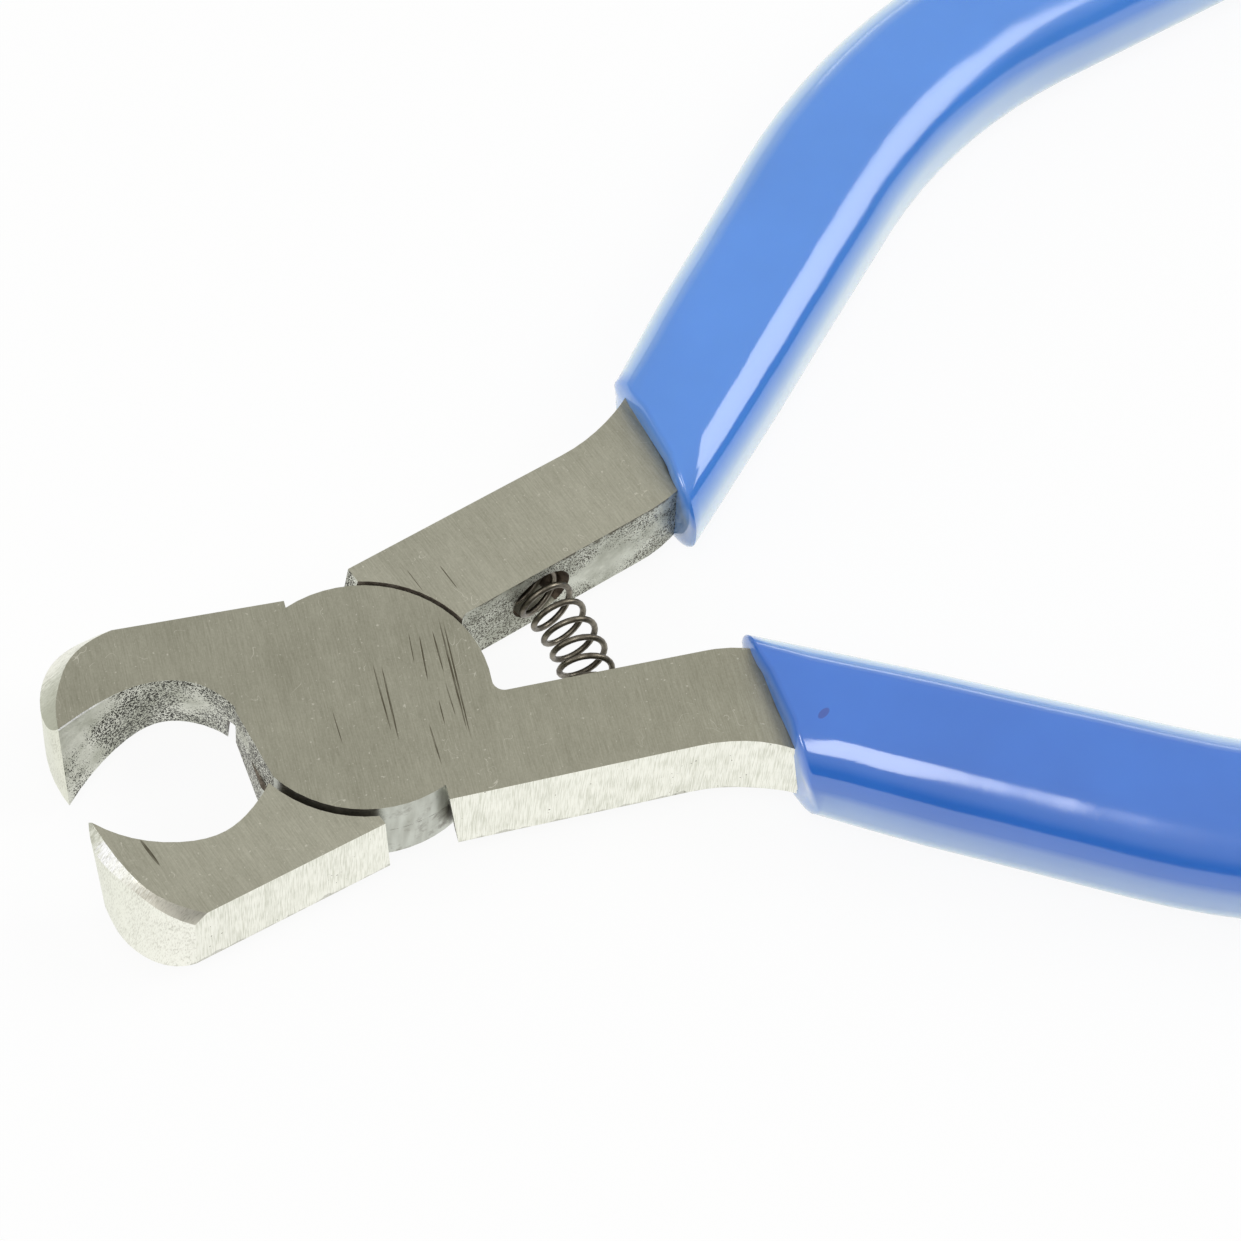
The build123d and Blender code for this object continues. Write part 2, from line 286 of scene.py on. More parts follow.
@dataclass(frozen=True)
class GroundWall:
    """Outer walls of the halves, ground by the edge of a wheel.

    The wheel leaves a pale satin wall with fine parallel hatching, small pits of the forged skin
    and dark burrs along the lower edge.
    """

    name: str
    turn: float
    dark: str = "#dddecf"
    light: str = "#fdfdf2"
    pit: str = "#8f8d7e"
    burr: str = "#77756a"

    def material(self) -> Material:
        """Build the finish from nodes.

        Returns:
            The finished material.
        """
        material, add = new_material(self.name)
        coords = add("TexCoord").outputs["Object"]
        turned = add("Mapping", {0: coords, "Rotation": (0, 0, -self.turn)})

        # Hatching 0.05 mm apart, over a slow change of tone
        streak = add("Mapping", {0: turned, "Scale": (1, 1, 0.04)})
        lines = add("TexNoise", {0: streak, "Scale": 20000, "Detail": 3.0})
        cloud = add("TexNoise", {0: turned, "Scale": 700, "Detail": 4.0})
        tone = add("Math", (cloud, 0.35, lines), operation="MULTIPLY_ADD")
        wall = add("ValToRGB", {0: tone}, stops=[(0.5, self.dark), (0.75, self.light)])

        # Pits up to 0.15 mm across
        cells = add("TexVoronoi", {0: turned, "Scale": 2600})
        patch = add("TexNoise", {0: turned, "Scale": 500})
        room = add("MapRange", (patch, 0.5, 0.75, 0.0, 0.21))
        pit = add("Math", (cells, room), operation="LESS_THAN")
        pitted = add("MixRGB", (pit, wall, self.pit))

        # Burrs in the lowest 0.4 mm
        split = add("SeparateXYZ", {0: coords})
        low = add("MapRange", (split.outputs["Z"], 0.0, 0.45 * MM, 1.0, 0.0))
        torn = add("TexNoise", {0: turned, "Scale": 1400, "Detail": 4.0})
        ragged = add("Math", (low, 0.35, torn), operation="MULTIPLY_ADD")
        edge = add("MapRange", (ragged, 0.72, 0.85, 0.0, 0.375))
        burred = add("MixRGB", (edge, pitted, self.burr))

        bump = add("Bump", {"Height": tone, "Strength": 0.3, "Distance": 0.04 * MM})
        return shaded(material, {"Base Color": burred, "Metallic": 1.0, "Roughness": 0.45, "Normal": bump})


@dataclass(frozen=True)
class GroundBevel:
    """Bevel ground by hand on the outside of a jaw end.

    Its tones from tip to corner are a painted highlight and painted shade of the curved bevel,
    and it is streaked brown-grey towards the corner.
    """

    name: str
    turn: float
    side: float
    # Painted highlight and shade tones from tip to corner
    stops: Tones

    def material(self) -> Material:
        """Build the finish from nodes.

        Returns:
            The finished material.
        """
        material, add = new_material(self.name)
        coords = add("TexCoord").outputs["Object"]
        turned = add("Mapping", {0: coords, "Rotation": (0, 0, -self.turn)})
        split = add("SeparateXYZ", {0: turned})

        # Painted highlight and shade along the bevel from the tip to the corner 9 mm away, broken by
        # streaks down its slope
        streak = add("Mapping", {0: turned, "Scale": (0.15, 1, 0.25)})
        lines = add("TexNoise", {0: streak, "Scale": 6000, "Detail": 3.0})
        away = add("MapRange", (split.outputs["Y"], -2.0 * MM * self.side, 7.5 * MM * self.side, 0.0, 0.9))
        painted_light_tone = add("Math", (lines, 0.36, away), operation="MULTIPLY_ADD")
        steel = add("ValToRGB", {0: painted_light_tone}, stops=self.stops)

        # Belt scratches 0.06 mm wide down the slope, in patches
        scratches = add("TexNoise", {0: streak, "Scale": 15000, "Detail": 3.0, "Roughness": 0.7})
        patch = add("TexNoise", {0: turned, "Scale": 700})
        summed = add("Math", (patch, 0.25, scratches), operation="MULTIPLY_ADD")
        share = add("MapRange", (summed, 0.6, 0.86, 0.0, 0.5))
        streaked = add("MixRGB", (share, steel, "#8d8a76"))
        bump = add("Bump", {"Height": lines, "Strength": 0.12, "Distance": 0.03 * MM})
        return shaded(material, {"Base Color": streaked, "Metallic": 1.0, "Roughness": 0.4, "Normal": bump})


@dataclass(frozen=True)
class ForgedWall:
    """Walls left as forged and blasted: pale grey steel with black scale in its pits.

    It gives a salt-and-pepper wall with smoother pale patches, black grains 0.1 mm across,
    a brown tint where it is darkest, a painted burr shadow and a painted edge highlight.
    """

    name: str
    pale: str = "#dedfd4"
    mid: str = "#b9bbad"
    scale: str = "#2b2922"
    grains: float = 1.0
    burr_shadow: float = 0.0

    def material(self) -> Material:
        """Build the finish from nodes.

        Returns:
            The finished material.
        """
        material, add = new_material(self.name)
        coords = add("TexCoord").outputs["Object"]
        cloud = add("TexNoise", {0: coords, "Scale": 420, "Detail": 6.0, "Roughness": 0.65})
        steel = add("ValToRGB", {0: cloud}, stops=[(0.38, self.mid), (0.6, self.pale)])

        # Grains of scale in patches a few millimetres across, densest low and towards the joint
        split = add("SeparateXYZ", {0: coords})
        low = add("MapRange", (split.outputs["Z"], 0.0, STEEL_THICKNESS, 0.12, 0.0))
        patch = add("TexNoise", {0: coords, "Scale": 260})
        inwards = add("MapRange", (split.outputs["X"], -17 * MM, -9 * MM, -0.09, 0.05))
        lower = add("Math", (patch, low), operation="ADD")
        dense = add("Math", (lower, inwards), operation="ADD")
        room = add("MapRange", (dense, 0.38, 0.6, 0.05, 0.45 * self.grains))
        grains = add("TexVoronoi", {0: coords, "Scale": 10500})
        coarse = add("TexVoronoi", {0: coords, "Scale": 5800})
        small = add("Math", (room, grains), operation="SUBTRACT")
        larger = add("Math", (room, coarse), operation="SUBTRACT")
        either = add("Math", (small, larger), operation="MAXIMUM")
        black = add("MapRange", (either, 0.0, 0.05, 0.0, 0.95))
        speckled = add("MixRGB", (black, steel, self.scale))

        # Painted shadow of the burr: a ragged dark line along the upper edge
        high = add(
            "MapRange",
            (split.outputs["Z"], STEEL_THICKNESS - 0.9 * MM, STEEL_THICKNESS, -0.2, 0.22),
        )
        torn = add("TexNoise", {0: coords, "Scale": 900, "Detail": 5.0, "Roughness": 0.7})
        ragged = add("Math", (high, torn), operation="ADD")
        share = add("MapRange", (ragged, 0.6, 0.72, 0.0, self.burr_shadow))
        speckled = add("MixRGB", (share, speckled, "#55503f"))

        # Painted highlight of the worn cutting edge: a bright line near the tip, broken in places
        line = add(
            "MapRange",
            (split.outputs["Z"], STEEL_THICKNESS - 0.17 * MM, STEEL_THICKNESS - 0.12 * MM),
        )
        highlight_near_tip = add("MapRange", (split.outputs["X"], -13.2 * MM, -14.5 * MM))
        whole = add("MapRange", (torn, 0.4, 0.5))
        bright = add("Math", (line, highlight_near_tip), operation="MULTIPLY")
        bright = add("Math", (bright, whole), operation="MULTIPLY")
        speckled = add("MixRGB", (bright, speckled, "#ffffff"))

        relief = add("TexNoise", {0: coords, "Scale": 3500, "Detail": 3.0})
        height = add("Math", (black, -0.7, relief), operation="MULTIPLY_ADD")
        bump = add("Bump", {"Height": height, "Strength": 0.5, "Distance": 0.06 * MM})
        return shaded(material, {"Base Color": speckled, "Metallic": 1.0, "Roughness": 0.5, "Normal": bump})


@dataclass(frozen=True)
class MilledWall:
    """Turned and milled walls of the lap joint, smooth with a bluish grey skin of oil."""

    name: str
    dark: str = "#b6b8ad"
    light: str = "#cdd0c6"
    grime: str = "#5a4e3f"

    def material(self) -> Material:
        """Build the finish from nodes.

        Returns:
            The finished material.
        """
        material, add = new_material(self.name)
        coords = add("TexCoord").outputs["Object"]
        streak = add("Mapping", {0: coords, "Scale": (1, 1, 0.2)})
        lines = add("TexNoise", {0: streak, "Scale": 1500, "Detail": 3.0})
        steel = add("ValToRGB", {0: lines}, stops=[(0.35, self.dark), (0.62, self.light)])

        # Brown oil dried in patches a millimetre across
        stain = add("TexNoise", {0: coords, "Scale": 800, "Detail": 5.0, "Roughness": 0.7})
        share = add("MapRange", (stain, 0.53, 0.78, 0.0, 0.9))
        stained = add("MixRGB", (share, steel, self.grime))
        bump = add("Bump", {"Height": stain, "Strength": 0.3, "Distance": 0.04 * MM})
        return shaded(material, {"Base Color": stained, "Metallic": 1.0, "Roughness": 0.42, "Normal": bump})


@dataclass(frozen=True)
class OilyRecess:
    """Floors and walls of the joint's recess and of the spring sockets, black-brown with old oil."""

    name: str
    deep: str = "#54463a"
    raised: str = "#8c7c6a"

    def material(self) -> Material:
        """Build the finish from nodes.

        Returns:
            The finished material.
        """
        material, add = new_material(self.name)
        coords = add("TexCoord").outputs["Object"]
        crust = add("TexNoise", {0: coords, "Scale": 1800, "Detail": 5.0, "Roughness": 0.7})
        colour = add("ValToRGB", {0: crust}, stops=[(0.45, self.deep), (0.68, self.raised)])
        bump = add("Bump", {"Height": crust, "Strength": 0.6, "Distance": 0.08 * MM})
        return shaded(material, {"Base Color": colour, "Metallic": 0.3, "Roughness": 0.45, "Normal": bump})


@dataclass(frozen=True)
class DrawnWire:
    """Hard-drawn spring wire with a thin film of oil: brown-grey, with soft highlights along it."""

    name: str
    dark: str = "#5d574c"
    light: str = "#8f887a"

    def material(self) -> Material:
        """Build the finish from nodes.

        Returns:
            The finished material.
        """
        material, add = new_material(self.name)
        coords = add("TexCoord").outputs["Object"]
        film = add("TexNoise", {0: coords, "Scale": 1100, "Detail": 4.0, "Roughness": 0.65})
        colour = add("ValToRGB", {0: film}, stops=[(0.38, self.dark), (0.64, self.light)])
        dull = add("MapRange", (film, 0.35, 0.65, 0.45, 0.28))
        bump = add("Bump", {"Height": film, "Strength": 0.25, "Distance": 0.03 * MM})
        return shaded(material, {"Base Color": colour, "Metallic": 1.0, "Roughness": dull, "Normal": bump})


@dataclass(frozen=True)
class DippedVinyl:
    """Plastisol vinyl coat, dipped and cured in one thick layer.

    It is a saturated blue that light enters a little, under a glossy skin with slow waves, fine
    orange peel and a few darker specks. The skin is glossiest by the mouth, where it ran thin and
    was handled least, and a painted reflection of the pale table makes it pale at the outline.
    """

    name: str
    mouth: tuple[float, float] = (0.0, 0.0)
    mouth_angle: float = 0.0
    blots: tuple[Mark, ...] = ()
    colour: str = "#2d76da"
    deep: str = "#2970d2"
    # Pale tint of the painted table reflection at the outline
    table_reflection_tint: str = "#dcf8ff"

    def material(self) -> Material:
        """Build the finish from nodes.

        Returns:
            The finished material.
        """
        material, add = new_material(self.name)
        coords = add("TexCoord").outputs["Object"]
        cloud = add("TexNoise", {0: coords, "Scale": 120, "Detail": 3.0})
        body = add("ValToRGB", {0: cloud}, stops=[(0.35, self.deep), (0.65, self.colour)])

        # Specks 0.2 to 0.6 mm across, one every few millimetres
        cells = add("TexVoronoi", {0: coords, "Scale": 260})
        size = add("Math", (cells.outputs["Color"], 0.09), operation="MULTIPLY")
        speck = add("Math", (cells, size), operation="LESS_THAN")
        for blot in self.blots:
            speck = add("Math", (speck, blot.mask(add, coords)), operation="MAXIMUM")
        share = add("Math", (speck, 0.7), operation="MULTIPLY")
        specked = add("MixRGB", (share, body, "#2a3f9c"))

        # Waves 6 mm long and peel 0.5 mm across
        wave = add("TexNoise", {0: coords, "Scale": 170, "Detail": 1.0})
        peel = add("TexNoise", {0: coords, "Scale": 1900})
        skin = add("Math", (peel, 0.03, wave), operation="MULTIPLY_ADD")
        bump = add("Bump", {"Height": skin, "Strength": 0.35, "Distance": 0.25 * MM})

        # Painted reflection of the pale table: paler towards the outline, but not on the thin front of the
        # mouth
        edge = add("LayerWeight", {"Blend": 0.5, "Normal": bump})
        painted_reflection_share = add("MapRange", (edge.outputs["Facing"], 0.34, 0.93))
        offset = add("VectorMath", (coords, (*self.mouth, MID_HEIGHT)), operation="SUBTRACT")
        heading = (cos(self.mouth_angle), sin(self.mouth_angle), 0)
        behind = add("VectorMath", (offset, heading), operation="DOT_PRODUCT")
        body_share = add("MapRange", (behind.outputs["Value"], 0.0, 0.6 * MM, 0.25, 1.0))
        painted_reflection_share = add("Math", (painted_reflection_share, body_share), operation="MULTIPLY")
        painted_sheen = add("MixRGB", (painted_reflection_share, specked, self.table_reflection_tint))

        # Duller skin from 8 to 25 mm along the grip, broken up by fine scuffs
        way = add("VectorMath", {0: offset}, operation="LENGTH")
        dull = add("MapRange", (way.outputs["Value"], 8 * MM, 25 * MM, 0.1, 0.17))
        scuff = add("TexNoise", {0: coords, "Scale": 4500})
        broken = add("MapRange", (scuff, 0.35, 0.65, 0.85, 1.15))
        gloss = add("Math", (dull, broken), operation="MULTIPLY")
        return shaded(
            material,
            {
                "Base Color": painted_sheen,
                "Roughness": 0.4,
                "IOR": 1.54,
                "Specular IOR Level": 0.1,
                "Subsurface Weight": 0.15,
                "Subsurface Radius": (0.3, 0.5, 1.0),
                "Subsurface Scale": 0.6 * MM,
                "Coat Weight": 1.0,
                "Coat IOR": 2.0,
                "Coat Roughness": gloss,
                "Normal": bump,
                "Coat Normal": bump,
            },
        )


def add_object(name: str, data: ID) -> Object:
    """Put a mesh, curve, light or camera into the scene.

    Args:
        name: Name of the object.
        data: What it shows.

    Returns:
        The new object.
    """
    added = bpy.data.objects.new(name, data)
    bpy.context.scene.collection.objects.link(added)
    return added


def select_only(piece: Object) -> None:
    """Select one piece alone and make it the active one.

    Args:
        piece: The piece to work on.
    """
    bpy.ops.object.select_all(action="DESELECT")
    piece.select_set(True)
    bpy.context.view_layer.objects.active = piece


def start_editing(piece: Object) -> None:
    """Make a piece the only selected one and enter its edit mode.

    Args:
        piece: The mesh object to shape.
    """
    if bpy.context.mode != "OBJECT":
        bpy.ops.object.mode_set(mode="OBJECT")
    select_only(piece)
    bpy.ops.object.mode_set(mode="EDIT")


def finish_piece(piece: Object, angle: float, flat_faces: bool = False) -> None:
    """Leave edit mode and shade a piece smooth up to an angle.

    Args:
        piece: The piece that was shaped.
        angle: Edges sharper than this stay sharp, in radians.
        flat_faces: Whether large flat faces keep an even shade up to their bevelled edges.
    """
    bpy.ops.object.mode_set(mode="OBJECT")
    bpy.ops.object.shade_smooth_by_angle(angle=angle)
    if flat_faces:
        weighted = piece.modifiers.new("even_faces", "WEIGHTED_NORMAL")
        weighted.keep_sharp = True
        bpy.ops.object.modifier_apply(modifier=weighted.name)
    log.info("built %s with %d faces", piece.name, len(piece.data.polygons))


class Surface(Enum):
    """Surfaces of a steel half, in the order of its material slots."""

    GROUND_FACE = 0
    OUTER_WALL = 1
    JAW_END = 2
    BEVEL = 3
    FORGED_WALL = 4
    ARM_WALL = 5
    DISC_WALL = 6
    THROAT = 7
    RECESS = 8
    SOCKET = 9


@dataclass
class SteelHalf:
    """One forged and ground half: jaw, joint disc and arm."""

    node: str
    body: str
    piece_name: str
    turn: float
    jaw_side: float

    # Breaking of the edges
    edge_width: float = 0.10 * MM
    edge_profile: float = 0.6
    merge_distance: float = 0.002 * MM
    flat_angle: float = radians(0.4)
    sharp_angle: float = radians(25)
    smooth_angle: float = radians(35)
    lap_slack: float = 0.1 * MM

    # Places of the surfaces in the closed tool, its jaw on the +Y side
    disc_radius: float = 7.36 * MM
    throat_distance: float = 6.97 * MM
    throat_angle: float = radians(194.4)
    rivet_reach: float = 3.2 * MM
    recess_reach: float = 8.2 * MM
    tolerance: float = 0.15 * MM
    jaw_start: float = -6.5 * MM
    bevel_start: float = -12.5 * MM
    end_start: float = -14.5 * MM
    jaw_middle: tuple[float, float] = (-12 * MM, 2.5 * MM)
    step_x: float = 5 * MM
    lap_zone: float = 0.4 * MM
    socket_x: tuple[float, float] = (10.5 * MM, 16 * MM)
    socket_y: tuple[float, float] = (-3.4 * MM, -1.45 * MM)

    # Cosines from which a face counts as looking one way
    mostly: float = 0.8
    squarely: float = 0.9
    exactly: float = 0.97
    jaw_end_limit: float = 0.93
    wall_limit: float = 0.5
    joint_wall_limit: float = 0.3
    bevel_rise: float = 0.25

    def surface_of(self, polygon: MeshPolygon) -> Surface:
        """Tell which surface of the half a face belongs to.

        Args:
            polygon: Face of the half at rest.

        Returns:
            The surface, from the face's place and direction in the closed tool.
        """
        back = Matrix.Rotation(-self.turn, 3, "Z")
        place = back @ polygon.center
        facing = back @ polygon.normal
        place.y *= self.jaw_side
        facing.y *= self.jaw_side
        radius = hypot(place.x, place.y)
        outwards = (facing.x * place.x + facing.y * place.y) / max(radius, MM)
        throat_way = Vector((cos(self.throat_angle), sin(self.throat_angle), 0))
        if abs(facing.z) > self.mostly:
            inside = abs(place.z - MID_HEIGHT) < self.lap_zone
            return Surface.RECESS if inside else Surface.GROUND_FACE
        if radius < self.rivet_reach:
            return Surface.RECESS
        off_throat = abs(place.dot(throat_way) - self.throat_distance)
        if facing.dot(throat_way) > self.exactly and off_throat < self.tolerance:
            return Surface.THROAT
        if outwards > self.squarely and abs(radius - self.disc_radius) < self.tolerance:
            return Surface.DISC_WALL
        if outwards < -self.mostly and radius < self.recess_reach:
            return Surface.RECESS
        if place.x < self.jaw_start:
            return self.jaw_surface(place, facing)
        if self.socket_x[0] < place.x < self.socket_x[1] and self.socket_y[0] < place.y < self.socket_y[1]:
            return Surface.SOCKET
        if abs(facing.x) > self.mostly and abs(place.x) < self.step_x:
            return Surface.THROAT
        if place.x > 0:
            return Surface.ARM_WALL if facing.y > 0 else Surface.OUTER_WALL
        return Surface.OUTER_WALL if facing.y > self.joint_wall_limit else Surface.FORGED_WALL

    def jaw_surface(self, place: Vector, facing: Vector) -> Surface:
        """Tell which surface of the jaw a wall face belongs to.

        Args:
            place: Middle of the face in the closed tool, its jaw on the +Y side.
            facing: Direction of the face, turned likewise.

        Returns:
            The surface.
        """
        outer = facing.xy.dot(place.xy - Vector(self.jaw_middle)) > 0
        if outer and facing.z > self.bevel_rise and place.x < self.bevel_start:
            return Surface.BEVEL
        if outer and facing.y < self.jaw_end_limit and place.x < self.end_start:
            return Surface.JAW_END
        return Surface.OUTER_WALL if facing.y > self.wall_limit else Surface.FORGED_WALL

    def build(self, finishes: dict[Surface, Material]) -> Object:
        """Copy the half's solid, break its edges and dress it.

        Args:
            finishes: Material of each surface.

        Returns:
            The finished piece.
        """
        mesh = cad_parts[self.node].data.copy()
        piece = add_object(self.piece_name, mesh)
        start_editing(piece)
        bpy.ops.mesh.select_all(action="SELECT")
        bpy.ops.mesh.customdata_custom_splitnormals_clear()
        bpy.ops.mesh.remove_doubles(threshold=self.merge_distance)
        bpy.ops.mesh.dissolve_limited(angle_limit=self.flat_angle)
        bpy.ops.mesh.select_all(action="DESELECT")
        bpy.ops.mesh.select_mode(type="EDGE")
        bpy.ops.mesh.edges_select_sharp(sharpness=self.sharp_angle)
        shape = bmesh.from_edit_mesh(mesh)
        for edge in shape.edges:
            middle = (edge.verts[0].co + edge.verts[1].co) / 2
            at_lap = abs(middle.z - MID_HEIGHT) < self.lap_slack and middle.xy.length < self.recess_reach
            if middle.xy.length < self.rivet_reach or at_lap:
                edge.select = False
        bmesh.update_edit_mesh(mesh)
        bpy.ops.mesh.bevel(
            offset=self.edge_width, segments=2, profile=self.edge_profile, clamp_overlap=True
        )
        bpy.ops.object.mode_set(mode="OBJECT")
        mesh.materials.clear()
        for surface in Surface:
            mesh.materials.append(finishes[surface])
        for polygon in mesh.polygons:
            polygon.material_index = self.surface_of(polygon).value
        finish_piece(piece, self.smooth_angle, flat_faces=True)
        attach(piece, self.body)
        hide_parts(self.node)
        return piece


@dataclass
class ReturnSpring:
    """Compression spring of round wire on an arc about the pivot, its end coils closed."""

    arc_radius: float = 13.35 * MM
    outer_radius: float = 1.7 * MM
    wire_radius: float = 0.19 * MM
    open_coils: float = 7.5
    closed_coils: float = 1.0
    closed_pitch: float = 0.4 * MM
    arm_inner: float = 1.4 * MM
    socket_depth: float = 1.7 * MM
    end_gap: float = 0.06 * MM
    steps_per_coil: int = 26

    @property
    def half_sweep(self) -> float:
        """Angle about the pivot from the middle of the spring to its last wire."""
        arm = asin(self.arm_inner / self.arc_radius) + OPEN_ANGLE / 2
        return arm + (self.socket_depth - self.end_gap - self.wire_radius) / self.arc_radius

    def swept(self, turn: float) -> float:
        """Angle about the pivot that the wire has reached.

        Args:
            turn: Coils wound so far.

        Returns:
            Angle from the first wire, in radians.
        """
        closed_sweep = self.closed_pitch / self.arc_radius
        open_sweep = 2 * (self.half_sweep - closed_sweep * self.closed_coils)
        open_turn = min(max(turn - self.closed_coils, 0), self.open_coils)
        return closed_sweep * (turn - open_turn) + open_sweep * open_turn / self.open_coils

    def build(self, finish: Material) -> Object:
        """Wind the wire as a curve and turn it into a mesh.

        Args:
            finish: Material of the wire.

        Returns:
            The finished piece.
        """
        coils = self.open_coils + 2 * self.closed_coils
        count = round(coils * self.steps_per_coil) + 1
        coil_radius = self.outer_radius - self.wire_radius
        data = bpy.data.curves.new("return_spring", "CURVE")
        data.dimensions = "3D"
        data.bevel_depth = self.wire_radius
        data.bevel_resolution = 3
        data.use_fill_caps = True
        wire = data.splines.new("POLY")
        wire.points.add(count - 1)
        for step, point in enumerate(wire.points):
            turn = coils * step / (count - 1)
            angle = self.swept(turn) - self.half_sweep
            radius = self.arc_radius + coil_radius * cos(2 * pi * turn)
            height = MID_HEIGHT + coil_radius * sin(2 * pi * turn)
            point.co = (radius * cos(angle), radius * sin(angle), height, 1)
        select_only(add_object("coil_spring", data))
        bpy.ops.object.convert(target="MESH")
        piece = bpy.context.object
        piece.data.materials.append(finish)
        start_editing(piece)
        bpy.ops.mesh.select_all(action="SELECT")
        bpy.ops.mesh.remove_doubles(threshold=0.001 * MM)
        bpy.ops.mesh.normals_make_consistent(inside=False)
        finish_piece(piece, radians(60))
        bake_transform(piece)
        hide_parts("return_spring")
        return piece


@dataclass
class DippedGrip:
    """Vinyl grip dipped over a tang: straight, bent, straight again, with a slanted open mouth."""

    node: str
    body: str
    piece_name: str
    turn: float
    jaw_side: float
    bend_x: float
    shift: float
    mouth_angle: float
    mouth_delay: float = 5.4 * MM
    mouth_y: float = 5.3 * MM
    lead: float = 4.2 * MM
    handle_angle: float = radians(28)
    straight: float = 23 * MM
    bend_radius: float = 42 * MM
    bend_angle: float = radians(31)
    tail: float = 29.8 * MM
    corner_radius: float = 3.0 * MM
    end_radius: float = 2.6 * MM
    lip_depth: float = 0.4 * MM
    lip_width: float = 1.1 * MM
    lip_steps: int = 5
    lip_zone: float = 1.5 * MM
    corner_y: float = 2.4 * MM
    corner_z: float = 1.9 * MM
    corner_pull: float = 0.4 * MM
    corner_reach: float = 2.6 * MM
    side_y: float = -3.0 * MM
    side_recess: float = 0.25 * MM
    side_reach: float = 2.4 * MM
    mouth_reach: float = 0.08 * MM
    tail_step: float = 3.0 * MM
    slant_length: float = 13 * MM
    step: float = 2.2 * MM
    taper_end: float = 9 * MM
    overhang: float = 5 * MM
    mouth_zone: float = 2 * MM

    @property
    def sections(self) -> list[tuple[float, float, float]]:
        """Distance from the start, width and thickness where the taper of the grip changes."""
        bend_start = self.lead + self.straight
        bend_end = bend_start + self.bend_radius * self.bend_angle
        return [
            (0, 8.5 * MM, 7.3 * MM),
            (self.lead + self.taper_end, 9.6 * MM, 7.9 * MM),
            (bend_start, 10.1 * MM, 8.1 * MM),
            (bend_end, 10.1 * MM, 8.1 * MM),
            (bend_end + self.tail, 9.0 * MM, 7.5 * MM),
        ]

    @property
    def mouth(self) -> Vector:
        """Middle of the mouth in the closed tool, arm on the -Y side."""
        return Vector((self.bend_x + self.mouth_delay, -self.mouth_y, MID_HEIGHT))

    @property
    def slant(self) -> float:
        """Angle between the mouth and a square cut through the grip."""
        return self.handle_angle + self.mouth_angle

    def width_at(self, distance: float) -> tuple[float, float]:
        """Width and thickness of the grip.

        Args:
            distance: Distance from the start of the centre line.

        Returns:
            Width and thickness, blended between the sections on both sides.
        """
        for (start, *near), (end, *far) in zip(self.sections, self.sections[1:]):
            if distance <= end:
                share = (distance - start) / (end - start)
                return tuple(one + (other - one) * share for one, other in zip(near, far))
        return tuple(self.sections[-1][1:])

    def slant_at(self, distance: float) -> float:
        """Angle of a ring of the mesh, from the mouth's slant to square across the grip.

        Args:
            distance: Distance from the start of the centre line.

        Returns:
            Angle in radians.
        """
        faded = min(max((distance - self.lead - MM) / self.slant_length, 0), 1)
        return self.slant * (1 - faded)

    def turn_ring(self, distance: float, change: float, growth: float) -> None:
        """Turn the selected ring about the upright axis and widen it to stay on the grip's sides.

        Args:
            distance: Distance of the ring from the start.
            change: Angle to turn it by.
            growth: Factor that keeps its width as it turns.
        """
        centre = (distance, 0, 0)
        bpy.ops.transform.rotate(value=-change, orient_axis="Z", center_override=centre)
        bpy.ops.transform.resize(value=(growth, growth, 1), center_override=centre)

    def extrude_straight(self) -> Object:
        """Extrude the rounded section along X in short steps, with its lip and its round tail end.

        Returns:
            The grip as a straight bar whose mouth is already slanted.
        """
        total = self.sections[-1][0]
        first = self.lead - self.mouth_reach + self.lip_depth / cos(self.slant)
        width, thickness = self.width_at(first)
        bpy.ops.object.select_all(action="DESELECT")
        bpy.ops.mesh.primitive_plane_add(size=1.0, rotation=(0, pi / 2, 0))
        piece = bpy.context.object
        piece.name = self.piece_name
        bpy.ops.object.transform_apply(rotation=True)
        start_editing(piece)
        bpy.ops.mesh.select_all(action="SELECT")
        bpy.ops.transform.resize(value=(1, width, thickness))
        bpy.ops.transform.translate(value=(first, 0, 0))
        bpy.ops.mesh.bevel(offset=self.corner_radius, segments=8, affect="VERTICES")
        self.turn_ring(first, self.slant, 1 / cos(self.slant))
        steps = round((total - self.tail_step - first) / self.step)
        spacing = (total - self.tail_step - first) / steps
        places = [first + spacing * number for number in range(steps + 1)] + [total]
        for last, here in zip(places, places[1:]):
            next_width, next_thickness = self.width_at(here)
            bpy.ops.mesh.extrude_region_move(TRANSFORM_OT_translate={"value": (here - last, 0, 0)})
            bpy.ops.transform.resize(
                value=(1, next_width / width, next_thickness / thickness), center_override=(here, 0, 0)
            )
            before, after = self.slant_at(last), self.slant_at(here)
            if before > 0:
                self.turn_ring(here, after - before, cos(before) / cos(after))
            width, thickness = next_width, next_thickness
        bpy.ops.mesh.bevel(offset=self.end_radius, segments=8, affect="EDGES")
        bpy.ops.mesh.select_all(action="SELECT")
        bpy.ops.mesh.normals_make_consistent(inside=False)
        self.round_lip(piece)
        bpy.ops.object.mode_set(mode="OBJECT")
        return piece

